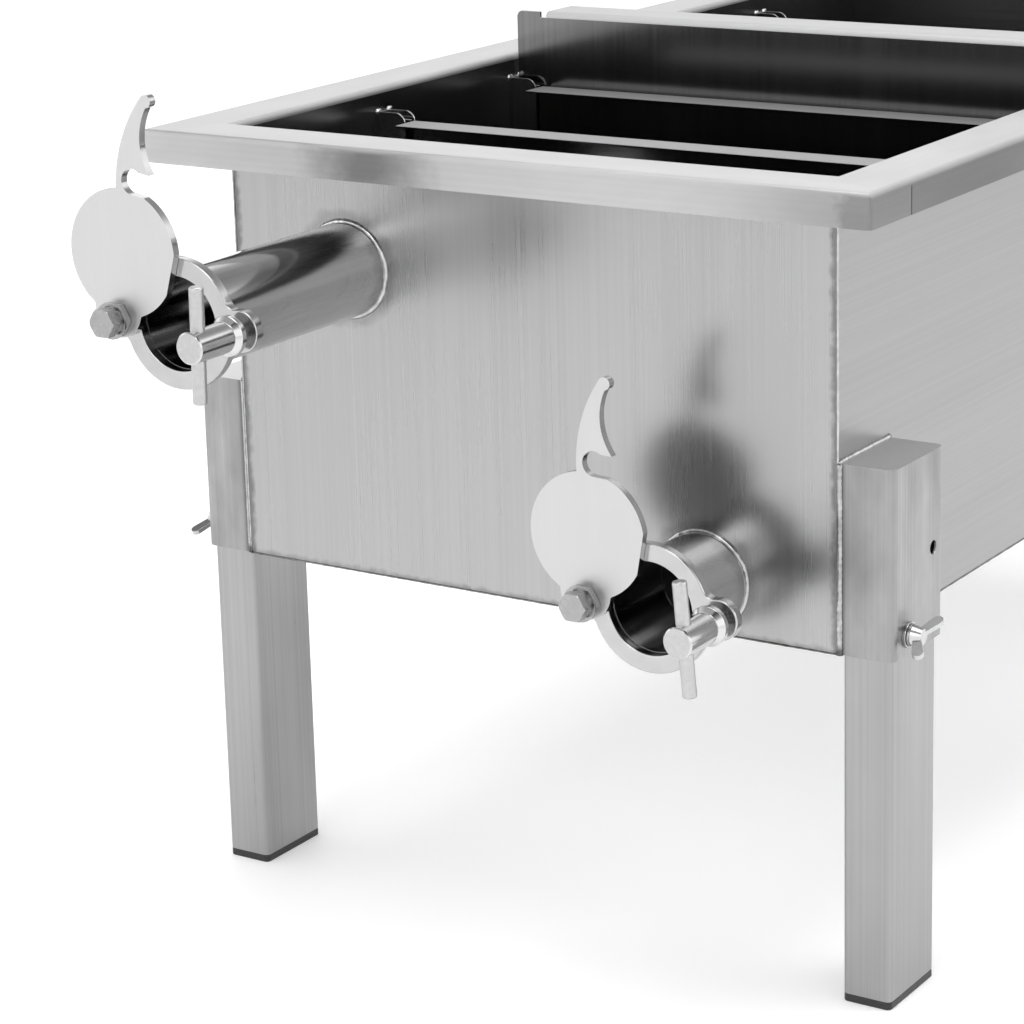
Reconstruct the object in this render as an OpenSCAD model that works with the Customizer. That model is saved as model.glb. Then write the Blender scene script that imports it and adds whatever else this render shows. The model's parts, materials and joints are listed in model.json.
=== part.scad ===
// Stainless-steel uncapping and settling tank on four plug-in legs, with two
// hand-clamped honey gates on its front panel and lift-out plates inside.
// X runs across the tank, Y along it away from the gates, Z up from the ground.

/* [Tank] */
// Width of the tank over its side walls
tank_w = 500; // [420:5:700]
// Length of the tank over its end panels
tank_l = 1000; // [900:10:1600]
// Height from the underside of the floor to the top of the rim
tank_h = 330; // [300:5:450]
// Thickness of the tank's sheet
sheet = 2; // [1.5:0.25:3]
// Height of the floor's underside above the ground
leg_drop = 256; // [150:1:600]

/* [Rim] */
// How far the folded rim stands out from the walls
rim_w = 48; // [30:1:60]
// Height of the rim's outer lip, its top included
rim_lip = 24; // [16:1:40]
// Outside radius of the rim's bends
rim_bend = 5; // [4:0.5:8]

/* [Leg sockets] */
// How far a socket stands out from the side wall
socket_w = 42; // [36:1:60]
// Length of a socket along the tank
socket_l = 76; // [68:1:100]
// Height of a socket above the floor's underside
socket_h = 135; // [100:1:180]
// Thickness of the socket's sheet
socket_t = 2; // [1.5:0.25:3]
// Outside radius of the socket's upright bends
socket_bend = 6; // [4:0.5:8]
// Distance of the spare hole from the socket's end face
spare_y = 60; // [45:1:64]
// Height of the spare hole above the floor's underside
spare_z = 66; // [40:1:90]

/* [Legs] */
// Clearance between a leg and its socket on each side
leg_gap = 1.5; // [0.5:0.1:2]
// Wall thickness of the leg tube
leg_t = 2; // [1.5:0.25:3]
// Outside radius of the leg tube's edges
leg_bend = 4; // [3.5:0.5:8]
// Height of the foot cap below the tube
cap_h = 6; // [4:1:12]
// Length of the foot cap's plug inside the tube
cap_plug = 22; // [12:1:40]

/* [Wing bolts] */
// Thread diameter of a wing bolt
wing_d = 8; // [6:1:10]
// Distance of a wing bolt from the socket's end face
wing_y = 21; // [18:1:36]
// Height of a wing bolt above the floor's underside
wing_z = 15; // [14:1:40]
// Span of a wing bolt over both wings
wing_span = 42; // [36:1:56]
// Thickness of a wing
wing_t = 3.5; // [2.5:0.5:5]
// Turn of the wings out of the level, the inner wing up
wing_turn = 24; // [0:1:90]

/* [Plate guides] */
// Clear width of a guide's slot
slot_w = 12; // [11:0.5:16]
// Depth of a guide from the wall
guide_d = 25; // [18:1:35]
// Thickness of a guide's sheet
guide_t = 1.5; // [1:0.25:2.5]
// Depth of the guides' top below the rim
guide_top = 19; // [12:1:40]
// Radius of the rounded inner top corner of a guide
guide_r = 9; // [4:1:14]
// Distance of the front guide's centre from the front panel
front_guide = 192; // [150:1:220]
// Distance of the middle guide's centre from the front panel
middle_guide = 382; // [300:1:420]
// Distance of the rear guide's centre from the rear panel
rear_guide = 192; // [150:1:220]

/* [Plates] */
// Thickness of the lift-out plates
plate_t = 2; // [1.5:0.25:3]
// Depth of the baffles' top below the guides' top
baffle_down = 6; // [1:0.5:20]
// Width of the fold along the top of a baffle
baffle_fold = 30; // [20:1:40]
// Width of the fold along the top of the tall partition
partition_fold = 40; // [25:1:50]
// Height of the tall partition above the rim
partition_up = 36; // [20:1:80]
// Outside radius of the bend along a plate's top
plate_bend = 5; // [4:0.5:7]
// Height of the honey gap under a plate that stands on feet
underflow = 40; // [20:1:80]
// Width of a plate's foot
foot_w = 60; // [40:1:100]

/* [Outlet pipes] */
// Outside diameter of the outlet pipes
pipe_d = 70; // [60:1:84]
// Wall thickness of the outlet pipes
pipe_t = 2; // [1.5:0.25:3]
// Size of the weld beads round the pipes and on the sockets
weld_r = 2.5; // [1.5:0.5:5]
// Distance of the upper gate from the left side wall
upper_in = 100; // [90:1:180]
// Height of the upper gate above the floor's underside
upper_z = 230; // [180:1:240]
// Distance of the upper gate's face from the front panel
upper_reach = 196; // [120:1:260]
// Distance of the lower gate from the right side wall
lower_in = 105; // [90:1:180]
// Height of the lower gate's pipe above the floor's top
lower_lift = 0.5; // [0:0.5:30]
// Distance of the lower gate's face from the front panel
lower_reach = 73; // [60:1:160]

/* [Gate flange] */
// Outside radius of the ring
ring_r = 46; // [44:0.5:50]
// Thickness of the ring
ring_t = 8; // [6:0.5:12]
// Distance of the pivot bolt from the gate's centre
pivot_r = 47; // [46:0.5:54]
// Radius of the pivot ear
pivot_ear = 13; // [12:0.5:16]
// Distance of the clamp stud from the gate's centre
stud_r = 53; // [51:0.5:60]
// Radius of the clamp ear
stud_ear = 14.5; // [12:0.5:18]
// Radius of the hollow between the ring and an ear
ear_fillet = 8; // [5:0.5:12]

/* [Blade] */
// Thickness of the blade
blade_t = 6; // [4:0.5:8]
// Radius of the blade's disc
blade_r = 45; // [42:0.5:46]
// Depth of the flat on the blade's leading edge
blade_flat = 2.5; // [0:0.5:5]
// Radius of the blade's lobe round the pivot
blade_lobe = 20; // [18:0.5:23]
// Distance of the lobe's centre from the pivot, towards the disc
lobe_in = 7; // [4:0.5:9]
// Radius of the hollow between the disc and the lobe
lobe_fillet = 2; // [1:0.5:6]
// Radius of the notch that hooks over the stud
notch_r = 9; // [7.5:0.5:10]
// Reach of the finger grip past the stud
grip_len = 60; // [45:1:80]
// Radius of the grip's back
grip_back_r = 104; // [90:1:130]
// Radius of the grip's hollow side
grip_hollow_r = 43; // [36:1:50]
// Radius of the grip's tip
grip_tip_r = 4.5; // [3:0.5:6]
// Angle of the closed blade, where its notch holds the stud
closed_a = 2; // [1:0.5:4]
// Angle of the upper blade as it stands open
upper_open = 81; // [40:1:120]
// Angle of the lower blade as it stands open
lower_open = 87; // [40:1:120]

/* [Pivot bolt] */
// Thread diameter of the pivot bolt
pivot_d = 12; // [10:1:14]
// Width across the flats of the pivot bolt's head and nuts
pivot_af = 19; // [18:1:24]
// Height of the pivot bolt's head
head_h = 7.5; // [5:0.5:10]
// Thickness of the spring washer
spring_t = 2.5; // [1.5:0.5:4]
// Thickness of the flat washer
washer_t = 2; // [1:0.5:4]
// Radius of the flat washer
washer_r = 13; // [12:0.5:16]
// Height of the nuts on the pivot bolt
nut_h = 5.5; // [4:0.5:10]

/* [Clamp] */
// Diameter of the clamp stud
stud_d = 10; // [8:1:12]
// Space between the flange and the open clamp's collar
clamp_gap = 10; // [9:0.5:14]
// Thickness of the thrust collar
collar_t = 8; // [5:0.5:12]
// Radius of the thrust collar
collar_r = 14; // [12.5:0.5:17]
// Chamfer on the thrust collar's outer face
collar_chamfer = 3.5; // [1:0.5:4.5]
// Length of the T-nut
tnut_l = 36; // [32:1:50]
// Radius of the T-nut
tnut_r = 11; // [9.5:0.5:13]
// Diameter of the tommy bar
bar_d = 10; // [7:0.5:11]
// Length of the tommy bar
bar_l = 80; // [60:1:120]
// Lean of the upper tommy bar from upright
upper_lean = -1; // [-90:1:90]
// Lean of the lower tommy bar from upright
lower_lean = 5; // [-90:1:90]
// Distance of the tommy bar from the T-nut's face
bar_in = 10; // [8:0.5:14]
// Depth of the T-nut's threaded hole
tnut_bore = 20; // [16:0.5:26]
// Length of stud inside the open T-nut
stud_in = 15; // [10:0.5:20]
// Chamfer on the ends of the T-nut and the tommy bar
turn_chamfer = 1; // [0.5:0.25:2]

/* [Clearances] */
// Gap left between pieces that move past each other
slip = 0.3; // [0.2:0.05:0.5]
// Radial clearance of a turning fit
run = 0.05; // [0.02:0.01:0.1]
// Gap between a plate's edge and the back of its guide
edge_gap = 1.5; // [1:0.25:3]

/* [Hidden] */
$fn = 64;

steel = "silver";
bright = "gainsboro";
LEFT = -1;
RIGHT = 1;
FRONT = -1;
REAR = 1;
UPPER = 0;
LOWER = 1;

clamp_reach = clamp_gap + collar_t + slip + tnut_l;
front_y = (upper_reach + clamp_reach - tank_l - rim_w) / 2;
rear_y = front_y + tank_l;
pipe_r = pipe_d / 2;
bore_r = pipe_r - pipe_t;
inner_bend = rim_bend - sheet;
guide_h = tank_h - guide_top - sheet;
guide_w = slot_w + 2 * guide_t;
plate_w = tank_w - 2 * (sheet + guide_t + edge_gap);
fold_inset = guide_d + 6;
weld_nut_h = 0.3 * wing_d;
weld_nut_r = 1.15 * wing_d;
wing_washer_t = 1.6;
leg_w = socket_w - socket_t - 2 * leg_gap;
leg_l = socket_l - 2 * (socket_t + leg_gap);

function gate_x(g) = g == UPPER ? upper_in - tank_w / 2 : tank_w / 2 - lower_in;
function gate_z(g) = leg_drop + (g == UPPER ? upper_z : sheet + pipe_r + lower_lift);
function gate_reach(g) = g == UPPER ? upper_reach : lower_reach;
function gate_open(g) = g == UPPER ? upper_open : lower_open;
function guide_y(i) = i == 0 ? front_y + front_guide : i == 1 ? front_y + middle_guide : rear_y - rear_guide;

// Points of an arc of radius r round c, whose chords stay within arc_error of it.
arc_error = 0.03;
function arc(c, r, from, to) = let (n = ceil(abs(to - from) / (2 * acos(1 - arc_error / r))))
    [for (i = [0 : n]) let (a = from + (to - from) * i / n) c + r * [cos(a), sin(a)]];
// Centre of a circle of radius f that touches a disc of radius a at the origin
// and an ear of radius b at [d, 0], on the upper side.
function hollow(a, b, d, f) = let (x = ((a + f) ^ 2 - (b + f) ^ 2 + d ^ 2) / (2 * d)) [x, sqrt((a + f) ^ 2 - x ^ 2)];
// Angle at which that circle touches the disc.
function ear_angle(a, b, d, f) = let (c = hollow(a, b, d, f)) atan2(c.y, c.x);
// Outline of the ear with its two hollow sides, from the lower side of the disc to the upper.
function ear(a, b, d, f) = let (c = hollow(a, b, d, f), at_a = atan2(c.y, c.x) + 180, at_b = atan2(c.y, c.x - d) + 180)
    concat(arc([c.x, -c.y], f, -at_a, -at_b), arc([d, 0], b, 180 - at_b, at_b - 180), arc(c, f, at_b, at_a));

// Rectangle from the origin with all corners round.
module round_rect(size, r) {
    for (x = [r, size.x - r], y = [r, size.y - r]) translate([x, y]) circle(r = r);
    translate([r, 0]) square([size.x - 2 * r, size.y]);
    translate([0, r]) square([size.x, size.y - 2 * r]);
}

// Rectangle between two corners with its two upper corners round.
module round_top(low, high, r) {
    size = high - low;
    translate(low) {
        square([size.x, size.y - r]);
        translate([r, 0]) square([size.x - 2 * r, size.y]);
        for (x = [r, size.x - r]) translate([x, size.y - r]) circle(r = r);
    }
}

module hex_prism(af, h) { cylinder(d = af / cos(30), h = h, $fn = 6); }

// Children drawn at a gate: X across, Y up, Z towards the person at the gate,
// from the front face of the flange's ring.
module at_gate(g) {
    translate([gate_x(g), front_y - gate_reach(g), gate_z(g)]) rotate([90, 0, 0]) children();
}
module at_pivot(g) { at_gate(g) translate([-pivot_r, 0, 0]) children(); }
module at_stud(g) { at_gate(g) translate([stud_r, 0, 0]) children(); }

// Children drawn at a corner of the tank: X out from the side wall, Y inwards
// from the end panel, Z up from the floor's underside.
module at_corner(side, end) {
    translate([side * tank_w / 2, end == FRONT ? front_y : rear_y, leg_drop])
        if (side == RIGHT && end == FRONT) children();
        else if (side == LEFT && end == REAR) rotate([0, 0, 180]) children();
        else if (side == LEFT) mirror([1, 0, 0]) children();
        else mirror([0, 1, 0]) children();
}
// Children drawn on a wing bolt's axis: Z out of the socket, from its face.
module at_wing(side, end) {
    at_corner(side, end) translate([socket_w, wing_y, wing_z]) rotate([0, 90, 0]) children();
}

// Section of a wall and its folded rim, X out from the wall's outer face.
module wall_profile() {
    difference() {
        round_top([-sheet, 0], [rim_w, tank_h], rim_bend);
        round_top([0, -sheet], [rim_w - sheet, tank_h - sheet], inner_bend);
        translate([rim_w - 2 * sheet, -sheet]) square([3 * sheet, tank_h - rim_lip + sheet]);
    }
}
// One wall of the tank with its rim, mitred at both ends.
module folded_wall(len) {
    past = rim_w + sheet;
    intersection() {
        translate([0, len + past, 0]) rotate([90, 0, 0]) linear_extrude(len + 2 * past) wall_profile();
        linear_extrude(tank_h + sheet)
            polygon([[-2 * sheet, 2 * sheet], [past, -past], [past, len + past], [-2 * sheet, len - 2 * sheet]]);
    }
}

module floor_sheet() {
    color(steel) translate([-tank_w / 2 + sheet, front_y + sheet, leg_drop])
        cube([tank_w - 2 * sheet, tank_l - 2 * sheet, sheet]);
}
module right_side_sheet() {
    color(steel) translate([tank_w / 2, front_y, leg_drop]) folded_wall(tank_l);
}
module left_side_sheet() {
    color(steel) translate([-tank_w / 2, rear_y, leg_drop]) rotate([0, 0, 180]) folded_wall(tank_l);
}
module front_panel() {
    color(bright) difference() {
        translate([-tank_w / 2, front_y, leg_drop]) rotate([0, 0, -90]) folded_wall(tank_w);
        for (g = [UPPER, LOWER]) at_gate(g)
            translate([0, 0, -gate_reach(g) - 2 * sheet]) cylinder(r = pipe_r, h = 3 * sheet);
    }
}
module rear_panel() {
    color(bright) translate([tank_w / 2, rear_y, leg_drop]) rotate([0, 0, 90]) folded_wall(tank_w);
}

// Plan of a socket: a rectangle against the wall with its outer corners round.
module socket_plan(inset, r) {
    intersection() {
        translate([-socket_w, inset]) round_rect([2 * socket_w - inset, socket_l - 2 * inset], r);
        square([socket_w, socket_l]);
    }
}
module leg_socket(side, end) {
    color(steel) at_corner(side, end) difference() {
        linear_extrude(socket_h) socket_plan(0, socket_bend);
        translate([0, 0, -socket_t]) linear_extrude(socket_h) socket_plan(socket_t, socket_bend - socket_t);
        for (p = [[wing_y, wing_z], [spare_y, spare_z]])
            translate([socket_w - 2 * socket_t, p.x, p.y]) rotate([0, 90, 0])
                cylinder(r = wing_d / 2 + leg_gap / 2, h = 3 * socket_t);
    }
}
module weld_nuts() {
    color(bright) for (side = [LEFT, RIGHT], end = [FRONT, REAR]) at_wing(side, end) difference() {
        cylinder(r = weld_nut_r, h = weld_nut_h);
        translate([0, 0, -1]) cylinder(r = wing_d / 2 + run, h = weld_nut_h + 2);
    }
}
// Quarter-round bead on the top seam and half-round bead on the end seam.
module socket_welds() {
    color(bright) for (side = [LEFT, RIGHT], end = [FRONT, REAR]) at_corner(side, end) {
        translate([0, socket_l, socket_h]) rotate([90, 0, 0]) linear_extrude(socket_l)
            intersection() { circle(r = weld_r); square(2 * weld_r); }
        linear_extrude(socket_h) difference() {
            circle(r = weld_r);
            translate([-2 * weld_r, 0]) square(4 * weld_r);
        }
    }
}

// Plate guide on a side wall: X into the tank from the wall, Y along the tank.
module plate_guide(i, side) {
    color(steel) translate([side * (tank_w / 2 - sheet), guide_y(i), leg_drop + sheet])
        rotate([0, 0, side == RIGHT ? 180 : 0]) difference() {
            translate([0, guide_w / 2, 0]) rotate([90, 0, 0]) linear_extrude(guide_w) {
                square([guide_d, guide_h - guide_r]);
                square([guide_d - guide_r, guide_h]);
                translate([guide_d - guide_r, guide_h - guide_r]) circle(r = guide_r);
            }
            translate([guide_t, -slot_w / 2, -1]) cube([guide_d, slot_w, guide_h + 2]);
        }
}

module outlet_pipe(g) {
    reach = gate_reach(g);
    color(bright) at_gate(g) translate([0, 0, -reach - sheet]) difference() {
        cylinder(r = pipe_r, h = reach + sheet - ring_t);
        translate([0, 0, -1]) cylinder(r = bore_r, h = reach + sheet);
    }
}
module pipe_welds() {
    color(bright) for (g = [UPPER, LOWER]) at_gate(g) translate([0, 0, -gate_reach(g)])
        rotate_extrude() translate([pipe_r, 0]) intersection() {
            circle(r = weld_r);
            square(2 * weld_r);
        }
}
// Ring with a pivot ear on the left and a clamp ear on the right.
module gate_flange(g) {
    to_stud = ear_angle(ring_r, stud_ear, stud_r, ear_fillet);
    to_pivot = ear_angle(ring_r, pivot_ear, pivot_r, ear_fillet);
    color(bright) at_gate(g) translate([0, 0, -ring_t]) difference() {
        linear_extrude(ring_t) polygon(concat(
            ear(ring_r, stud_ear, stud_r, ear_fillet), arc([0, 0], ring_r, to_stud, 180 - to_pivot),
            -ear(ring_r, pivot_ear, pivot_r, ear_fillet), arc([0, 0], ring_r, 180 + to_pivot, 360 - to_stud)));
        translate([0, 0, -1]) {
            cylinder(r = bore_r, h = ring_t + 2);
            translate([stud_r, 0, 0]) cylinder(d = stud_d, h = ring_t + 2);
            translate([-pivot_r, 0, 0]) cylinder(d = pivot_d, h = ring_t + 2);
        }
    }
}

// Stack on the pivot bolt, in front of the blade and behind the ear.
spacer_z = blade_t + 2 * slip;
flat_z = spacer_z + nut_h;
spring_z = flat_z + washer_t;
head_z = spring_z + spring_t;
lock_z = -ring_t - nut_h;
module pivot_bolt(g) {
    color(bright) at_pivot(g) {
        translate([0, 0, lock_z - 3]) cylinder(d = pivot_d, h = head_z - lock_z + 3);
        translate([0, 0, head_z]) intersection() {
            hex_prism(pivot_af, head_h);
            cylinder(r1 = pivot_af, r2 = pivot_af * 0.52, h = head_h);
        }
    }
}
module pivot_washers(g) {
    color(bright) at_pivot(g) {
        translate([0, 0, flat_z]) linear_extrude(washer_t) difference() {
            circle(r = washer_r);
            circle(d = pivot_d);
        }
        translate([0, 0, spring_z]) linear_extrude(spring_t) difference() {
            circle(d = pivot_af);
            circle(d = pivot_d);
        }
    }
}
module pivot_nuts(g) {
    color(bright) at_pivot(g) for (z = [spacer_z, lock_z]) translate([0, 0, z]) difference() {
        hex_prism(pivot_af + (z > 0 ? 3 : 0), nut_h);
        translate([0, 0, -1]) cylinder(d = pivot_d, h = nut_h + 2);
    }
}
// Stud with a round head behind the ear.
stud_head = 5;
stud_tip = clamp_gap + collar_t + slip + stud_in;
module clamp_stud(g) {
    color(bright) at_stud(g) {
        translate([0, 0, -ring_t - stud_head]) cylinder(d = 1.6 * stud_d, h = stud_head);
        translate([0, 0, -ring_t]) cylinder(d = stud_d, h = ring_t + stud_tip);
    }
}

// Finger grip and hook of a blade, from the stud's place on the closed blade:
// a horn between its round back and its hollow side, with a round tip.
hook_d = pivot_r + stud_r;
module grip_outline() {
    root = 10;
    back = [2, root - grip_back_r];
    hollow = [grip_len - 26, -7.5 - grip_hollow_r];
    lean = asin((grip_len - grip_tip_r - back.x) / (grip_back_r - grip_tip_r));
    out = [sin(lean), cos(lean)];
    tip = back + (grip_back_r - grip_tip_r) * out;
    difference() {
        intersection() {
            translate(back) circle(r = grip_back_r, $fn = 128);
            polygon([[-2 * notch_r, 2 * root], tip + 3 * root * out, tip - grip_tip_r * out,
                [notch_r / 2, -2 * notch_r], [-2 * notch_r, -1.5 * notch_r]]);
        }
        translate(hollow) circle(r = grip_hollow_r, $fn = 128);
    }
    translate(tip) circle(r = grip_tip_r);
}
// Blade from its pivot, with X along the line from the pivot to the disc.
module gate_blade(g) {
    notch = hook_d * [cos(closed_a), -sin(closed_a)] - [1.5, 0.5];
    to_lobe = ear_angle(blade_r, blade_lobe, pivot_r - lobe_in, lobe_fillet);
    flat_a = -97;
    color(bright) at_pivot(g) translate([0, 0, slip]) rotate([0, 0, gate_open(g)]) difference() {
        linear_extrude(blade_t) difference() {
            union() {
                translate([pivot_r, 0]) polygon(concat(-ear(blade_r, blade_lobe, pivot_r - lobe_in, lobe_fillet),
                    arc([0, 0], blade_r, 180 + to_lobe, 540 - to_lobe)));
                translate([hook_d, 0]) grip_outline();
            }
            translate([pivot_r, 0]) rotate(flat_a) translate([blade_r - blade_flat, -blade_r]) square(2 * blade_r);
            translate(notch) circle(r = notch_r);
            translate(notch - [notch_r, 3 * notch_r]) square([2 * notch_r - 1.5, 3 * notch_r]);
        }
        translate([0, 0, -1]) cylinder(r = pivot_d / 2 + run, h = blade_t + 2);
    }
}

module thrust_collar(g) {
    color(bright) at_stud(g) translate([0, 0, clamp_gap]) rotate_extrude() difference() {
        square([collar_r, collar_t]);
        translate([-1, -1]) square([1 + stud_d / 2 + run, collar_t + 2]);
        translate([collar_r, collar_t]) rotate(45) square(sqrt(2) * collar_chamfer, center = true);
    }
}
// Turned rod along Z with the edges of both ends chamfered.
module turned_rod(r, h) {
    c = turn_chamfer;
    rotate_extrude() polygon([[0, 0], [r - c, 0], [r, c], [r, h - c], [r - c, h], [0, h]]);
}
tnut_z = clamp_gap + collar_t + slip;
// Children drawn on a tommy bar's axis, from its middle.
module at_bar(g) {
    translate([0, 0, tnut_z + tnut_l - bar_in]) rotate([90, 0, g == UPPER ? upper_lean : lower_lean]) children();
}
module t_nut(g) {
    color(bright) at_stud(g) difference() {
        translate([0, 0, tnut_z]) turned_rod(tnut_r, tnut_l);
        translate([0, 0, tnut_z - 1]) cylinder(r = stud_d / 2 + run, h = tnut_bore + 1);
        at_bar(g) cylinder(d = bar_d, h = 4 * tnut_r, center = true);
    }
}
module tommy_bar(g) {
    color(bright) at_stud(g) at_bar(g) translate([0, 0, -bar_l / 2]) turned_rod(bar_d / 2, bar_l);
}

leg_top = socket_h - socket_t - slip;
module at_leg(side, end) {
    at_corner(side, end) translate([leg_gap, socket_t + leg_gap, 0]) children();
}
module leg(side, end) {
    foot = cap_h - leg_drop;
    color(steel) at_leg(side, end) translate([0, 0, foot]) linear_extrude(leg_top - foot) difference() {
        round_rect([leg_w, leg_l], leg_bend);
        translate([leg_t, leg_t]) round_rect([leg_w - 2 * leg_t, leg_l - 2 * leg_t], leg_bend - leg_t);
    }
}
module foot_cap(side, end) {
    inset = leg_t + run;
    color("#202020") at_leg(side, end) translate([0, 0, -leg_drop]) {
        linear_extrude(cap_h) round_rect([leg_w, leg_l], leg_bend);
        translate([inset, inset, 0]) linear_extrude(cap_h + cap_plug)
            round_rect([leg_w - 2 * inset, leg_l - 2 * inset], leg_bend - leg_t);
    }
}

wing_hub_z = weld_nut_h + slip + wing_washer_t + slip;
wing_hub_h = 0.9 * wing_d;
// Two wings that rise from the hub in a V, drawn in the plane of the axis.
module wing_outline() {
    lobe = wing_d / 2;
    for (s = [1, -1]) hull() {
        translate([s * wing_d / 4, wing_hub_h * 0.45]) circle(r = lobe * 0.7, $fn = 32);
        translate([s * (wing_span / 2 - lobe), wing_hub_h + 0.4 * wing_d]) circle(r = lobe, $fn = 32);
    }
}
module wing_bolt(side, end) {
    tip = -socket_t - leg_gap + slip;
    color(bright) at_wing(side, end) {
        translate([0, 0, tip]) cylinder(d = wing_d, h = wing_hub_z - tip);
        translate([0, 0, wing_hub_z]) cylinder(d1 = 1.9 * wing_d, d2 = 1.4 * wing_d, h = wing_hub_h);
        rotate([0, 0, 90 + wing_turn]) translate([0, wing_t / 2, wing_hub_z]) rotate([90, 0, 0])
            linear_extrude(wing_t) wing_outline();
    }
}
module wing_washer(side, end) {
    color(bright) at_wing(side, end) translate([0, 0, weld_nut_h + slip]) difference() {
        cylinder(r = wing_d, h = wing_washer_t);
        translate([0, 0, -1]) cylinder(r = wing_d / 2 + run, h = wing_washer_t + 2);
    }
}

// Plate that slides in a pair of guides: X across, Y along the tank, Z from the
// floor's top. Its top is folded by fold, towards the gates where that is negative.
module slide_plate(top, fold, under) {
    s = sign(fold);
    fold_w = tank_w - 2 * (sheet + fold_inset);
    translate([0, plate_t / 2, 0]) rotate([90, 0, 0]) linear_extrude(plate_t) difference() {
        union() {
            translate([-plate_w / 2, 0]) square([plate_w, top - 2 * plate_bend]);
            round_top([-plate_w / 2, top - 3 * plate_bend], [plate_w / 2, top], plate_bend);
        }
        translate([-fold_w / 2 - plate_bend, top - plate_bend]) square([fold_w + 2 * plate_bend, 2 * plate_bend]);
        if (under > 0)
            translate([-plate_w / 2 + foot_w, -1]) square([plate_w - 2 * foot_w, under + 1]);
    }
    translate([-fold_w / 2, 0, top - plate_bend]) rotate([90, 0, 90]) linear_extrude(fold_w) {
        translate([-plate_t / 2, -2 * plate_bend]) square([plate_t, 2 * plate_bend]);
        translate([s * (plate_bend - plate_t / 2), 0]) intersection() {
            difference() {
                circle(r = plate_bend);
                circle(r = plate_bend - plate_t);
            }
            translate([s > 0 ? -2 * plate_bend : 0, 0]) square(2 * plate_bend);
        }
        translate([s > 0 ? plate_bend - plate_t / 2 : fold + plate_t / 2, plate_bend - plate_t])
            square([abs(fold) - plate_bend, plate_t]);
    }
}
module at_guide(i, shift) { translate([0, guide_y(i) + shift, leg_drop + sheet + slip]) children(); }
baffle_top = guide_h - baffle_down;
module front_baffle() { color(steel) at_guide(0, 0) slide_plate(baffle_top, -baffle_fold, underflow); }
module middle_baffle() { color(steel) at_guide(1, -slot_w / 4) slide_plate(baffle_top, -baffle_fold, 0); }
module tall_partition() {
    color(steel) at_guide(1, slot_w / 6)
        slide_plate(tank_h + partition_up - sheet - slip, partition_fold, underflow);
}

floor_sheet();
left_side_sheet();
right_side_sheet();
front_panel();
rear_panel();
leg_socket(LEFT, FRONT);  // leg_socket_front_left
leg_socket(RIGHT, FRONT);  // leg_socket_front_right
leg_socket(LEFT, REAR);  // leg_socket_rear_left
leg_socket(RIGHT, REAR);  // leg_socket_rear_right
weld_nuts();
socket_welds();
plate_guide(0, LEFT);  // front_guide_left
plate_guide(0, RIGHT);  // front_guide_right
plate_guide(1, LEFT);  // middle_guide_left
plate_guide(1, RIGHT);  // middle_guide_right
plate_guide(2, LEFT);  // rear_guide_left
plate_guide(2, RIGHT);  // rear_guide_right
outlet_pipe(UPPER);  // upper_outlet_pipe
outlet_pipe(LOWER);  // lower_outlet_pipe
pipe_welds();
gate_flange(UPPER);  // upper_gate_flange
gate_flange(LOWER);  // lower_gate_flange
pivot_bolt(UPPER);  // upper_pivot_bolt
pivot_bolt(LOWER);  // lower_pivot_bolt
pivot_washers(UPPER);  // upper_pivot_washers
pivot_washers(LOWER);  // lower_pivot_washers
pivot_nuts(UPPER);  // upper_pivot_nuts
pivot_nuts(LOWER);  // lower_pivot_nuts
clamp_stud(UPPER);  // upper_clamp_stud
clamp_stud(LOWER);  // lower_clamp_stud
gate_blade(UPPER);  // upper_gate_blade
gate_blade(LOWER);  // lower_gate_blade
thrust_collar(UPPER);  // upper_thrust_collar
thrust_collar(LOWER);  // lower_thrust_collar
t_nut(UPPER);  // upper_t_nut
t_nut(LOWER);  // lower_t_nut
tommy_bar(UPPER);  // upper_tommy_bar
tommy_bar(LOWER);  // lower_tommy_bar
leg(LEFT, FRONT);  // leg_front_left
leg(RIGHT, FRONT);  // leg_front_right
leg(LEFT, REAR);  // leg_rear_left
leg(RIGHT, REAR);  // leg_rear_right
foot_cap(LEFT, FRONT);  // foot_cap_front_left
foot_cap(RIGHT, FRONT);  // foot_cap_front_right
foot_cap(LEFT, REAR);  // foot_cap_rear_left
foot_cap(RIGHT, REAR);  // foot_cap_rear_right
wing_bolt(LEFT, FRONT);  // wing_bolt_front_left
wing_bolt(RIGHT, FRONT);  // wing_bolt_front_right
wing_bolt(LEFT, REAR);  // wing_bolt_rear_left
wing_bolt(RIGHT, REAR);  // wing_bolt_rear_right
wing_washer(LEFT, FRONT);  // wing_washer_front_left
wing_washer(RIGHT, FRONT);  // wing_washer_front_right
wing_washer(LEFT, REAR);  // wing_washer_rear_left
wing_washer(RIGHT, REAR);  // wing_washer_rear_right
front_baffle();
middle_baffle();
tall_partition();
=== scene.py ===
import json
import math
from types import SimpleNamespace

import bpy
from mathutils import Matrix, Vector


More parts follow.
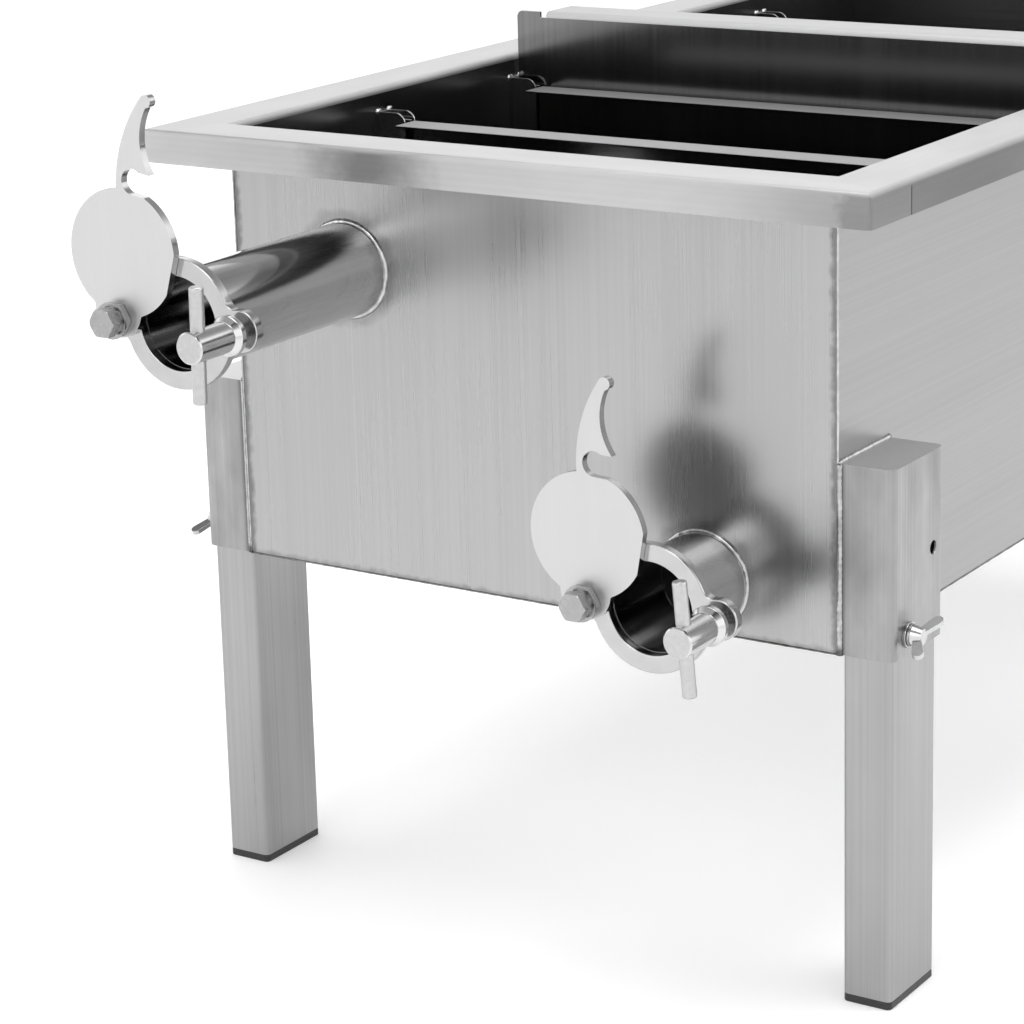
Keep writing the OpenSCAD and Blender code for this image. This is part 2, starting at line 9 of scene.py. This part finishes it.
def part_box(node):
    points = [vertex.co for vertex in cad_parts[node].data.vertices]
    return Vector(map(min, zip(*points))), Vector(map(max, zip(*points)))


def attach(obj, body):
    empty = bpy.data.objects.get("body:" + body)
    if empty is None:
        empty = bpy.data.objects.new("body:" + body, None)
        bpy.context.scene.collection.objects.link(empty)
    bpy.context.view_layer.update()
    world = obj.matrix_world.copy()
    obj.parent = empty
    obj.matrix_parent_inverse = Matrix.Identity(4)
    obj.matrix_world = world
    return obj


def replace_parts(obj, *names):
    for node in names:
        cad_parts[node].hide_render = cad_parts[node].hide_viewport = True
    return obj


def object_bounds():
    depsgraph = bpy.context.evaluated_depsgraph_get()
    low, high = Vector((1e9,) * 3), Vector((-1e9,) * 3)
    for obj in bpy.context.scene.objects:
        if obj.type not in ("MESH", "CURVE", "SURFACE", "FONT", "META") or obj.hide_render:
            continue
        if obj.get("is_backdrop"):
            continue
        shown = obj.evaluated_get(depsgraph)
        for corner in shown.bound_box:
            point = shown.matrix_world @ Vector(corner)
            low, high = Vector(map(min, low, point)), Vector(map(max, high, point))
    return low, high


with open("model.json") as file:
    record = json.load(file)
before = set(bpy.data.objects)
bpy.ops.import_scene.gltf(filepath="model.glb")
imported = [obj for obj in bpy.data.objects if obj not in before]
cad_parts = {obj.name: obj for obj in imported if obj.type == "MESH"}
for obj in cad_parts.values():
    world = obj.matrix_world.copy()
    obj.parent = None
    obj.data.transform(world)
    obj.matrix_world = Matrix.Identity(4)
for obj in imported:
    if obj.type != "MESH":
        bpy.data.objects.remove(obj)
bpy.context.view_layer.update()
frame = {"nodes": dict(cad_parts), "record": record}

# The camera stands to the right of the gates and a little above the rim, with a long
# lens. The picture keeps less above the lens's axis than below it, hence the shift.
camera_place = Vector((1.1964, -2.2357, 0.9700))
heading, tilt, roll = 33.281, 14.615, -1.558
camera_turn = (
    Matrix.Rotation(math.radians(heading), 4, "Z")
    @ Matrix.Rotation(math.radians(90 - tilt), 4, "X")
    @ Matrix.Rotation(math.radians(roll), 4, "Z")
)
bpy.ops.object.camera_add()
camera = bpy.context.object
camera.name = "photo_camera"
camera.matrix_world = Matrix.Translation(camera_place) @ camera_turn
camera.data.sensor_width = 36
camera.data.lens = 112.28
camera.data.shift_y = -0.1
bpy.context.scene.camera = camera
bpy.context.scene.view_settings.view_transform = "Standard"

# White studio floor: a sheet of white acrylic lit a little from below, and more so far
# away, so that it runs into the white behind it and keeps only the softest shadows.
bpy.ops.object.select_all(action="DESELECT")
bpy.ops.mesh.primitive_plane_add(size=60)
studio_floor = bpy.context.object
studio_floor.name = "studio_floor"
studio_floor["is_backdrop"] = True


def add(tree, kind, settings=None, **inputs):
    """A shader node with its settings and inputs: an input is a value or another node's output."""
    made = tree.nodes.new(kind)
    for key, value in (settings or {}).items():
        setattr(made, key, value)
    for key, value in inputs.items():
        socket = made.inputs[int(key[1:]) if key[0] == "_" else key.replace("_", " ")]
        if isinstance(value, bpy.types.NodeSocket):
            tree.links.new(value, socket)
        else:
            socket.default_value = value
    return made


def new_finish(name, **constants):
    """A material with the values that are the same all over, and its tree, shader and coordinates."""
    finish = bpy.data.materials.new(name)
    finish.use_nodes = True
    tree = finish.node_tree
    shader = tree.nodes["Principled BSDF"]
    for key, value in constants.items():
        shader.inputs[key.replace("_", " ")].default_value = value
    place = tree.nodes.new("ShaderNodeTexCoord").outputs["Object"]
    return finish, tree, shader, place


def remap(tree, value, low, high, to_low, to_high):
    """A value carried from one range to another, and held at the ends."""
    settings = {"From_Min": low, "From_Max": high, "To_Min": to_low, "To_Max": to_high}
    return add(tree, "ShaderNodeMapRange", Value=value, **settings).outputs["Result"]


def noise(tree, place, scale, detail=3.0):
    """Soft noise, finer with a larger scale: one number, or one for each axis."""
    if not isinstance(scale, (int, float)):
        place = add(tree, "ShaderNodeMapping", Vector=place, Scale=scale).outputs["Vector"]
        scale = 1.0
    return add(tree, "ShaderNodeTexNoise", Vector=place, Scale=scale, Detail=detail).outputs["Fac"]


def spread(tree, clouds, low, high):
    """Noise carried from the range that most of it lies in to another."""
    return remap(tree, clouds, 0.3, 0.7, low, high)


def distance(tree, place, point):
    """How far a place on the surface is from a point."""
    settings = {"operation": "DISTANCE"}
    return add(tree, "ShaderNodeVectorMath", settings, _0=place, _1=point).outputs["Value"]


white_floor, tree, shader, place = new_finish(
    "white_floor", Roughness=0.6, Emission_Color=(1, 1, 1, 1)
)
glow_near, glow_far = 0.27, 0.5
glow = remap(tree, distance(tree, place, (0, 0, 0)), 3.0, 8.0, glow_near, glow_far)
tree.links.new(glow, shader.inputs["Emission Strength"])
tree.links.new(spread(tree, noise(tree, place, 3.0), 0.84, 0.88), shader.inputs["Base Color"])
studio_floor.data.materials.append(white_floor)

# Soft studio light: a bright white backdrop all round, a dark ceiling that gives polished
# steel its dark bands, and four soft boxes, a large one on the left and smaller ones in
# front, on the right and above.
world = bpy.data.worlds.new("studio")
bpy.context.scene.world = world
world.use_nodes = True
tree = world.node_tree
sky = tree.nodes.new("ShaderNodeTexCoord").outputs["Generated"]
height = add(tree, "ShaderNodeSeparateXYZ", Vector=sky).outputs["Z"]
backdrop = add(tree, "ShaderNodeValToRGB", Fac=remap(tree, height, -1.0, 1.0, 0.0, 1.0))
for position, grey in ((0.72, 1.0), (0.79, 0.36), (0.90, 0.05)):
    stop = backdrop.color_ramp.elements.new(position)
    stop.color = (grey, grey, grey, 1)
backdrop.color_ramp.elements[0].color = (1, 1, 1, 1)
backdrop.color_ramp.elements[-1].color = (0.05, 0.05, 0.05, 1)
tree.links.new(backdrop.outputs["Color"], tree.nodes["Background"].inputs["Color"])
tree.nodes["Background"].inputs["Strength"].default_value = 1.55


def soft_box(name, place, aim, size, power):
    """A square area light that faces a point."""
    bpy.ops.object.light_add(type="AREA", location=place)
    light = bpy.context.object
    light.name = name
    light.rotation_euler = (Vector(aim) - Vector(place)).to_track_quat("-Z", "Y").to_euler()
    light.data.size = size
    light.data.energy = power


soft_box("key_light", place=(-2.4, -2.6, 3.6), aim=(0, -0.1, 0.3), size=6.5, power=60)
soft_box("front_light", place=(0.2, -4.2, 3.2), aim=(0, -0.4, 0.4), size=1.8, power=30)
soft_box("fill_light", place=(3.6, 1.2, 3.0), aim=(0, 0, 0.3), size=3.6, power=50)
soft_box("top_light", place=(0.2, 0.3, 4.2), aim=(0.1, 0.1, 0), size=3.0, power=120)

# The tank is folded from 2 mm stainless sheet: a floor, two sides and two end panels.
# The end panels are brushed upright and the sides along their length. The end panels are
# darker beside the corner seams, with heat tint and painted shade, and darker along their
# lower edge. The inside is mill finish, of a darker tone than the outside: painted shade.
sheet_gauge = 0.002
floor_low, floor_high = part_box("floor_sheet")
wall_x = floor_high.x + sheet_gauge
front_y = floor_low.y - sheet_gauge
rear_y = floor_high.y + sheet_gauge
middle_y = (front_y + rear_y) / 2
wall_y = rear_y - middle_y


def reckon(tree, operation, first, second=0.0):
    """One sum on values that vary over the surface."""
    return add(tree, "ShaderNodeMath", {"operation": operation}, _0=first, _1=second).outputs[0]


def times(tree, *factors):
    """The product of several values."""
    product = factors[0]
    for factor in factors[1:]:
        product = reckon(tree, "MULTIPLY", product, factor)
    return product


def brushed_stainless(name, grain, tone, rough, streaks=0.012, mottling=0.03, patch=8.0):
    """Stainless steel with soft brush lines along one axis, a little cloudy from handling."""

    def drawn_out(lengthwise, crosswise):
        """Noise scales along and across the grain."""
        return [lengthwise if axis == grain else crosswise for axis in "XYZ"]

    finish, tree, shader, place = new_finish(name, Metallic=1.0)
    fine = noise(tree, place, drawn_out(1.3, 420.0), 2.0)
    broad = noise(tree, place, drawn_out(0.9, 24.0), 2.0)
    cloud = noise(tree, place, drawn_out(0.4 * patch, patch), 4.0)
    lines = spread(tree, fine, tone - streaks, tone + streaks)
    washes = spread(tree, broad, 1 - 2 * streaks, 1 + 2 * streaks)
    handling = spread(tree, cloud, 1 - mottling, 1 + mottling)
    tree.links.new(times(tree, lines, washes, handling), shader.inputs["Base Color"])
    scratched = spread(tree, fine, rough - 0.01, rough + 0.01)
    rubbed = spread(tree, cloud, 0.93, 1.07)
    tree.links.new(times(tree, scratched, rubbed), shader.inputs["Roughness"])
    return finish


def coordinates(finish):
    """A finish's tree, and where a point of the surface is: to the right, back from the gates, up."""
    tree = finish.node_tree
    place = tree.nodes["Texture Coordinate"].outputs["Object"]
    right, back, height = add(tree, "ShaderNodeSeparateXYZ", Vector=place).outputs
    return tree, SimpleNamespace(place=place, right=right, back=back, height=height)


def darken(finish, *factors):
    """Multiplies a finish's colour by factors that vary over the surface."""
    shader = finish.node_tree.nodes["Principled BSDF"]
    colour = shader.inputs["Base Color"].links[0].from_socket
    finish.node_tree.links.new(times(finish.node_tree, colour, *factors), shader.inputs["Base Color"])


front_steel = brushed_stainless("front_steel", "Z", tone=0.375, rough=0.28)
rear_steel = brushed_stainless("rear_steel", "Z", tone=0.375, rough=0.28)
for finish in (front_steel, rear_steel):
    tree, at = coordinates(finish)
    ragged_edge = spread(tree, noise(tree, at.place, 120.0), 0.0, 0.003)
    to_seam = reckon(tree, "ADD", reckon(tree, "ABSOLUTE", at.right), ragged_edge)
    to_foot = reckon(tree, "SUBTRACT", at.height, ragged_edge)
    # Painted shade with heat tint beside the corner seams, and a darker strip along the lower edge.
    darken(
        finish,
        remap(tree, to_seam, wall_x - 0.005, wall_x - 0.001, 1.0, 0.5),
        remap(tree, to_foot, floor_low.z - 0.001, floor_low.z + 0.003, 0.6, 1.0),
    )
side_steel = brushed_stainless("side_steel", "Y", tone=0.32, rough=0.32)
# The inside's mill finish is smoother than the outside, and its darker tone is painted shade.
shaded_mill_steel = brushed_stainless(
    "shaded_mill_steel", "X", tone=0.23, rough=0.23, streaks=0.01, mottling=0.06
)

# The rim is the top of each wall, folded out and down. It is brushed along its length and
# satin on top. The bend and the lip are dull from the wheel. On the end rims they are darker
# where a corner weld was ground, darker towards the right end with painted shade, and
# darker in a patch above the upper pipe.
rim_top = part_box("front_panel")[1].z
rim_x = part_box("right_side_sheet")[1].x
rim_y = wall_y + rim_x - wall_x
rim_flat = rim_top - 0.0002
bend_start = rim_top - 0.0012
lip_start = rim_top - 0.0065
wheel_rough = 0.72
shade_from, shade_to = 0.17, 0.275
ground_from, ground_to = rim_x - 0.020, rim_x - 0.012
dark_patch_middle = (-0.094, middle_y - rim_y, rim_top - 0.012)
dark_patch_core, dark_patch_reach = 0.014, 0.068


def roughen(finish, least):
    """Raises a finish's roughness to a least value that varies over the surface."""
    shader = finish.node_tree.nodes["Principled BSDF"]
    rough = shader.inputs["Roughness"].links[0].from_socket
    most = reckon(finish.node_tree, "MAXIMUM", rough, least)
    finish.node_tree.links.new(most, shader.inputs["Roughness"])


def finish_lip(finish, height, lip_tone):
    """Dulls the bend and the lip of a rim, and darkens the lip by a given factor, in part painted
    shade.
    """
    tree = finish.node_tree
    roughen(finish, remap(tree, height, bend_start, rim_flat, wheel_rough, 0.0))
    on_top = remap(tree, height, lip_start, rim_flat, 0.0, 1.0)
    darken(finish, reckon(tree, "MAXIMUM", on_top, lip_tone))


end_rim_steel = brushed_stainless(
    "end_rim_steel", "X", tone=0.525, rough=0.48, mottling=0.07, patch=24.0
)
tree, at = coordinates(end_rim_steel)
ragged_edge = spread(tree, noise(tree, at.place, 90.0), 0.0, 0.010)
to_corner = reckon(tree, "ADD", at.right, ragged_edge)
from_dark_patch = reckon(tree, "ADD", distance(tree, at.place, dark_patch_middle), ragged_edge)
# Painted shade towards the right end, a darker strip where the corner weld was ground, and a darker
# patch above the upper pipe.
lip_tone = times(
    tree,
    remap(tree, at.right, shade_from, shade_to, 0.98, 0.73),
    remap(tree, to_corner, ground_from, ground_to, 1.0, 0.75),
    remap(tree, from_dark_patch, dark_patch_core, dark_patch_reach, 0.45, 1.0),
)
finish_lip(end_rim_steel, at.height, lip_tone)

# The side rims are finished in the same way. Their lip is darker all along: painted shade.
# Near each corner it shows the thin dark seam where a corner piece was let in.
seam_from_corner = 0.059
side_rim_steel = brushed_stainless(
    "side_rim_steel", "Y", tone=0.515, rough=0.48, mottling=0.07, patch=24.0
)
tree, at = coordinates(side_rim_steel)
from_middle = reckon(tree, "ABSOLUTE", reckon(tree, "SUBTRACT", at.back, middle_y))
past_seam = reckon(tree, "SUBTRACT", from_middle, rim_y - seam_from_corner)
seam_line = remap(tree, reckon(tree, "ABSOLUTE", past_seam), 0.0004, 0.0011, 0.25, 1.0)
# Painted shade darkens the whole lip, a little less on the corner piece than beyond the seam.
lip_tone = times(tree, seam_line, remap(tree, past_seam, -0.0006, 0.0006, 0.41, 0.47))
finish_lip(side_rim_steel, at.height, lip_tone)

# The sheets themselves, folded and welded together, with their edges broken with a file.
# The outer corners of the rim were ground round after welding, here by three flat cuts
# at each corner.
corner_r = 0.0045
same_point = 2e-6
flat_enough = math.radians(0.4)
sharp_from = math.radians(32)
smooth_to = math.radians(33)
body_of_node = {
    node: body for body, members in frame["record"]["behaviour"]["bodies"].items() for node in members
}


def select_only(*pieces):
    """Leaves these pieces selected, the first one active."""
    bpy.ops.object.select_all(action="DESELECT")
    for piece in pieces:
        piece.select_set(True)
    bpy.context.view_layer.objects.active = pieces[0]


def eased(node, finish, edge, rounds=2, cuts=()):
    """The node's piece with its sharp edges broken, as with a file, after any flat cuts."""
    piece = bpy.data.objects.new(node + "_finished", frame["nodes"][node].data.copy())
    bpy.context.scene.collection.objects.link(piece)
    select_only(piece)
    bpy.ops.mesh.customdata_custom_splitnormals_clear()
    bpy.ops.object.mode_set(mode="EDIT")
    bpy.ops.mesh.select_all(action="SELECT")
    bpy.ops.mesh.remove_doubles(threshold=same_point)
    bpy.ops.mesh.dissolve_limited(angle_limit=flat_enough)
    for point, outward in cuts:
        bpy.ops.mesh.select_all(action="SELECT")
        bpy.ops.mesh.bisect(plane_co=point, plane_no=outward, use_fill=True, clear_outer=True)
    bpy.ops.object.mode_set(mode="OBJECT")
    bevel = piece.modifiers.new("broken_edge", "BEVEL")
    bevel.width = edge
    bevel.segments = rounds
    bevel.limit_method = "ANGLE"
    bevel.angle_limit = sharp_from
    bpy.ops.object.modifier_apply(modifier=bevel.name)
    bpy.ops.object.shade_smooth_by_angle(angle=smooth_to)
    flats = piece.modifiers.new("flat_faces", "WEIGHTED_NORMAL")
    flats.keep_sharp = True
    bpy.ops.object.modifier_apply(modifier=flats.name)
    piece.data.materials.clear()
    piece.data.materials.append(finish)
    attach(piece, body_of_node[node])
    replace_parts(piece, node)
    return piece


def refinish(piece, finish, chosen):
    """Gives the faces that a test picks a finish of their own."""
    piece.data.materials.append(finish)
    for face in piece.data.polygons:
        if chosen(face):
            face.material_index = len(piece.data.materials) - 1


def outside(face):
    """How far a face is outside the walls, or inside them if it is less than nothing."""
    return max(abs(face.center.x) - wall_x, abs(face.center.y - middle_y) - wall_y)


def on_rim(face):
    """Whether a face belongs to the folded rim."""
    return outside(face) > 0.1 * sheet_gauge or face.center.z > rim_top - 0.005


def in_tank(face):
    """Whether a face is on the inner side of the sheet."""
    above_floor = face.center.z > floor_low.z + 0.5 * sheet_gauge
    return above_floor and outside(face) < -0.75 * sheet_gauge and not on_rim(face)


corner_cuts = []
for side in (-1, 1):
    for end in (-1, 1):
        round_middle = Vector(
            (side * (rim_x - corner_r), middle_y + end * (rim_y - corner_r), rim_top)
        )
        for slant in (22.5, 45, 67.5):
            turn = math.radians(slant)
            outward = Vector((side * math.cos(turn), end * math.sin(turn), 0))
            corner_cuts.append((round_middle + corner_r * outward, outward))
for sheet, wall_finish, rim_finish in (
    ("floor_sheet", side_steel, side_steel),
    ("left_side_sheet", side_steel, side_rim_steel),
    ("right_side_sheet", side_steel, side_rim_steel),
    ("front_panel", front_steel, end_rim_steel),
    ("rear_panel", rear_steel, end_rim_steel),
):
    wall = eased(sheet, wall_finish, edge=0.0004, cuts=corner_cuts)
    refinish(wall, rim_finish, on_rim)
    refinish(wall, shaded_mill_steel, in_tank)

# Welded seams at the four upright corners of the tank and round its floor: thin
# beads of filler laid down the outside and only partly dressed, dark along the floor.
corner_bead = 0.0009
floor_bead = 0.0008
seam_top = rim_top - 0.003
weld_steel = brushed_stainless(
    "weld_steel", "Z", tone=0.48, rough=0.22, streaks=0.08, mottling=0.25, patch=300.0
)
tree, at = coordinates(weld_steel)
darken(weld_steel, remap(tree, at.height, floor_low.z + 0.004, floor_low.z + 0.008, 0.35, 1.0))


def rippled(bead, ring_of, depth):
    """Draws in every second ring of a bead, where a drop of filler set, and makes the bead uneven."""
    select_only(bead)
    bpy.ops.object.mode_set(mode="EDIT")
    bpy.ops.mesh.select_mode(type="VERT")
    bpy.ops.mesh.select_all(action="DESELECT")
    bpy.ops.object.mode_set(mode="OBJECT")
    for vertex in bead.data.vertices:
        vertex.select = ring_of(vertex.co) % 2 == 1
    bpy.ops.object.mode_set(mode="EDIT")
    bpy.ops.transform.shrink_fatten(value=-depth)
    bpy.ops.object.mode_set(mode="OBJECT")
    lumps = bpy.data.textures.new("lumps", "CLOUDS")
    lumps.noise_scale = 0.006
    uneven = bead.modifiers.new("uneven", "DISPLACE")
    uneven.texture = lumps
    uneven.strength = 2 * depth
    bpy.ops.object.modifier_apply(modifier=uneven.name)
    bpy.ops.object.shade_smooth()


def bead_between(start, end, radius):
    """A straight weld bead: a thin rod cut into rings, rippled and laid between two points."""
    start, end = Vector(start), Vector(end)
    length = (end - start).length
    rings = min(99, round(length / radius))
    bpy.ops.object.select_all(action="DESELECT")
    bpy.ops.mesh.primitive_cylinder_add(vertices=10, radius=radius, depth=length)
    bead = bpy.context.object
    bpy.ops.object.mode_set(mode="EDIT")
    bpy.ops.mesh.select_mode(type="EDGE")
    bpy.ops.mesh.select_all(action="DESELECT")
    bpy.ops.object.mode_set(mode="OBJECT")
    for edge in bead.data.edges:
        ends = [bead.data.vertices[index].co.z for index in edge.vertices]
        edge.select = abs(ends[0] - ends[1]) > length / 2
    bpy.ops.object.mode_set(mode="EDIT")
    bpy.ops.mesh.subdivide(number_cuts=rings)
    bpy.ops.object.mode_set(mode="OBJECT")
    rippled(bead, lambda point: round((point.z / length + 0.5) * (rings + 1)), 0.2 * radius)
    turn = (end - start).to_track_quat("Z", "Y").to_matrix().to_4x4()
    bead.matrix_world = Matrix.Translation((start + end) / 2) @ turn
    bpy.ops.object.transform_apply(location=True, rotation=True, scale=True)
    return bead


def welded(beads, name):
    """Joins beads into one piece of the tank."""
    select_only(*beads)
    bpy.ops.object.join()
    piece = bpy.context.object
    piece.name = name
    piece.data.materials.clear()
    piece.data.materials.append(weld_steel)
    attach(piece, "tank")
    return piece


seams = []
for side in (-1, 1):
    x = side * wall_x
    for y in (front_y, rear_y):
        seams.append(bead_between((x, y, floor_low.z), (x, y, seam_top), corner_bead))
    seams.append(bead_between((x, front_y, floor_low.z), (x, rear_y, floor_low.z), floor_bead))
for y in (front_y, rear_y):
    seams.append(bead_between((-wall_x, y, floor_low.z), (wall_x, y, floor_low.z), floor_bead))
welded(seams, "corner_seams")

# Four leg sockets, folded boxes open below, welded to the side walls. They were wiped
# with a flap wheel after welding, so the finish is blotchy and upright. They are darker close
# to the wall, with heat tint and painted shade, and brighter on top, where the weld was
# dressed and painted light is added.
socket_steel = brushed_stainless(
    "socket_steel", "Z", tone=0.30, rough=0.33, streaks=0.025, mottling=0.22, patch=30.0
)
tree, at = coordinates(socket_steel)
from_middle = reckon(tree, "ABSOLUTE", at.right)
# Darker close to the wall: heat tint by the weld, and painted shade in the corner.
darken(socket_steel, remap(tree, from_middle, wall_x + 0.0035, wall_x + 0.0065, 0.55, 1.0))
# Brighter finish for the socket tops: the dressed weld, and painted light on the top faces.
dressed_and_lit_steel = brushed_stainless(
    "dressed_and_lit_steel", "Y", tone=0.60, rough=0.40, mottling=0.08, patch=30.0
)
corners = [f"{end}_{side}" for end in ("front", "rear") for side in ("left", "right")]
for corner in corners:
    socket = eased(f"leg_socket_{corner}", socket_steel, edge=0.0008)
    refinish(socket, dressed_and_lit_steel, lambda face: face.normal.z > 0.5)

# Beads along the top of each socket and down the seam where it meets the corner
# of the tank. On the left of the front panel that seam was dressed almost flush.
top_bead = 0.0026
end_bead = 0.0024
dressed_bead = 0.0012
end_bead_out = 0.0015
beads = []
for corner in corners:
    low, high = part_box(f"leg_socket_{corner}")
    side = 1 if low.x > 0 else -1
    x = side * wall_x
    beads.append(bead_between((x, low.y, high.z), (x, high.y, high.z), top_bead))
    x = side * (wall_x + end_bead_out)
    y = low.y if low.y < middle_y else high.y
    radius = dressed_bead if corner == "front_left" else end_bead
    beads.append(bead_between((x, y, low.z), (x, y, high.z), radius))
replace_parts(welded(beads, "socket_welds_finished"), "socket_welds")

# Flat round nuts welded to the outside of the sockets, one under each wing bolt. They
# were left as welded, so they are as bright and uneven as the beads.
eased("weld_nuts", weld_steel, edge=0.0004)

# Plate guides: narrow folded channels stood upright against the side walls inside
# and held by small spots of weld, of which the top ones show.
spot_r = 0.0026
spot_form = (0.6, 1.5, 1.0)
guide_steel = brushed_stainless("guide_steel", "Z", tone=0.44, rough=0.16)
spots = []
for row in ("front", "middle", "rear"):
    for side in ("left", "right"):
        eased(f"{row}_guide_{side}", guide_steel, edge=0.0003)
        low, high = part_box(f"{row}_guide_{side}")
        x = low.x if side == "left" else high.x
        for y in (low.y, high.y):
            bpy.ops.object.select_all(action="DESELECT")
            bpy.ops.mesh.primitive_uv_sphere_add(
                segments=16, ring_count=10, radius=spot_r, location=(x, y, high.z)
            )
            bpy.ops.transform.resize(value=spot_form)
            bpy.ops.object.transform_apply(location=True, rotation=True, scale=True)
            bpy.ops.object.shade_smooth()
            spots.append(bpy.context.object)
welded(spots, "guide_weld_spots")

# Outlet pipes of polished 70 mm tube, let into the front panel and welded round with a
# ring of filler. The brushed panel is darker close to each ring, with heat tint and painted shade.
ring_bead = 0.0025
ring_ripple = 0.0004
ring_steps = 200
ring_step = 2 * math.pi / ring_steps


def polished_stainless(name, tone, rough, marks=0.05, grain=60.0, waves=0.1):
    """Bright polished steel with the faint marks of the buffing wheel."""
    finish, tree, shader, place = new_finish(name, Metallic=1.0)
    buffed = noise(tree, place, grain, 4.0)
    tree.links.new(spread(tree, buffed, 0.94 * tone, 1.06 * tone), shader.inputs["Base Color"])
    tree.links.new(spread(tree, buffed, rough, rough + marks), shader.inputs["Roughness"])
    swell = noise(tree, place, (34.0, 12.0, 34.0), 1.0)
    wavy = add(tree, "ShaderNodeBump", Height=swell, Strength=waves, Distance=0.002)
    tree.links.new(wavy.outputs["Normal"], shader.inputs["Normal"])
    return finish


tube_steel = polished_stainless(
    "tube_steel", tone=0.45, rough=0.08, grain=(260.0, 4.0, 260.0), waves=0.35
)
tree, at = coordinates(front_steel)
ragged_edge = spread(tree, noise(tree, at.place, 60.0), 0.0, 0.006)
rings = []
for gate in ("upper", "lower"):
    eased(f"{gate}_outlet_pipe", tube_steel, edge=0.0003)
    low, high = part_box(f"{gate}_outlet_pipe")
    pipe_r = (high.x - low.x) / 2
    root = Vector(((low.x + high.x) / 2, front_y, (low.z + high.z) / 2))
    bpy.ops.object.select_all(action="DESELECT")
    bpy.ops.mesh.primitive_torus_add(
        major_radius=pipe_r, minor_radius=ring_bead, major_segments=ring_steps, minor_segments=10
    )
    ring = bpy.context.object
    rippled(ring, lambda point: round(math.atan2(point.y, point.x) / ring_step), ring_ripple)
    ring.matrix_world = Matrix.Translation(root) @ Matrix.Rotation(math.pi / 2, 4, "X")
    bpy.ops.object.transform_apply(location=True, rotation=True, scale=True)
    rings.append(ring)
    # Painted shade with heat tint on the panel round the pipe's root.
    from_ring = reckon(tree, "SUBTRACT", distance(tree, at.place, root), ragged_edge)
    darken(front_steel, remap(tree, from_ring, pipe_r + 0.002, pipe_r + 0.008, 0.78, 1.0))
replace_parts(welded(rings, "pipe_welds_finished"), "pipe_welds")

# Gate flanges: a ring with two ears on the end of each pipe, one for the pivot and one
# for the clamp. They are cut from 8 mm plate, turned and polished.
flange_steel = polished_stainless("flange_steel", tone=0.46, rough=0.14)
for gate in ("upper", "lower"):
    eased(f"{gate}_gate_flange", flange_steel, edge=0.0012, rounds=3)

# Pivot bolt with its washers and nuts, through one ear of the flange, and the clamp stud,
# screwed into the other: ordinary bright fasteners, a little dull from handling.
bolt_steel = polished_stainless("bolt_steel", tone=0.34, rough=0.22, marks=0.08, grain=160.0)
for gate in ("upper", "lower"):
    for fastener in ("pivot_bolt", "pivot_nuts", "pivot_washers", "clamp_stud"):
        eased(f"{gate}_{fastener}", bolt_steel, edge=0.0003)

# Clamp: thrust collar, T-nut and tommy bar, turned from bright bar. The head of
# the T-nut was faced off in the lathe and left satin.
clamp_steel = polished_stainless("clamp_steel", tone=0.58, rough=0.10)
faced_steel = polished_stainless("faced_steel", tone=0.47, rough=0.34, grain=300.0)
for gate in ("upper", "lower"):
    eased(f"{gate}_thrust_collar", clamp_steel, edge=0.0004)
    head = eased(f"{gate}_t_nut", clamp_steel, edge=0.0003)
    refinish(head, faced_steel, lambda face: abs(face.normal.y) > 0.95)
    eased(f"{gate}_tommy_bar", faced_steel, edge=0.0009, rounds=3)

# Blades: cut from 6 mm plate, each swinging on its pivot bolt. The front is satin from a
# belt, the edge polished by hand, and the back, which slides on the ring, has kept its
# mill finish, of a darker tone: painted shade.
blade_face = brushed_stainless(
    "blade_face", "Z", tone=0.53, rough=0.42, streaks=0.005, mottling=0.008
)
blade_edge = polished_stainless("blade_edge", tone=0.50, rough=0.14)
# The back's darker tone is painted shade.
blade_back = brushed_stainless("blade_back", "Z", tone=0.36, rough=0.20)
for gate in ("upper", "lower"):
    blade = eased(f"{gate}_gate_blade", blade_face, edge=0.0006)
    refinish(blade, blade_edge, lambda face: abs(face.normal.y) <= 0.95)
    refinish(blade, blade_back, lambda face: face.normal.y > 0.95)

# Legs: rectangular stainless tube, brushed along its length and pushed up into the
# sockets, each with a cap of black moulded plastic pressed into its foot.
leg_steel = brushed_stainless(
    "leg_steel", "Z", tone=0.335, rough=0.30, streaks=0.02, mottling=0.05, patch=20.0
)
foot_plastic, tree, shader, place = new_finish("foot_plastic", Roughness=0.42)
grains = noise(tree, place, 900.0)
tree.links.new(spread(tree, grains, 0.008, 0.018), shader.inputs["Base Color"])
pebbled = add(tree, "ShaderNodeBump", Height=grains, Strength=0.2, Distance=0.0002)
tree.links.new(pebbled.outputs["Normal"], shader.inputs["Normal"])
for corner in corners:
    eased(f"leg_{corner}", leg_steel, edge=0.0003)
    eased(f"foot_cap_{corner}", foot_plastic, edge=0.0010, rounds=3)

# Wing bolts that clamp the legs, drop-forged and tumbled bright, each with a plain
# washer under its hub.
wing_steel = polished_stainless("wing_steel", tone=0.52, rough=0.20, grain=180.0)
for corner in corners:
    eased(f"wing_bolt_{corner}", wing_steel, edge=0.0011, rounds=3)
    eased(f"wing_washer_{corner}", wing_steel, edge=0.0002)

# Lift-out plates: two baffles and a tall partition, of stainless sheet folded at the top
# and slid down into the guides. The faces are smooth and glossy, of a dark tone that is
# painted shade, and the folds satin, of a darker tone on the baffles than on the partition,
# also painted shade.
# The faces' dark tone is painted shade for the inside of the tank.
plate_steel = brushed_stainless("plate_steel", "Z", tone=0.19, rough=0.16, streaks=0.016)
# Each plate's fold gets its own tone, darker on the baffles than on the partition: painted shade.
for plate, fold_tone in (("front_baffle", 0.36), ("middle_baffle", 0.28), ("tall_partition", 0.50)):
    sheet = eased(plate, plate_steel, edge=0.0004)
    fold_steel = brushed_stainless(f"{plate}_fold", "X", fold_tone, rough=0.62, streaks=0.006)
    refinish(sheet, fold_steel, lambda face: face.normal.z > 0.05)

low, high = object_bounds()
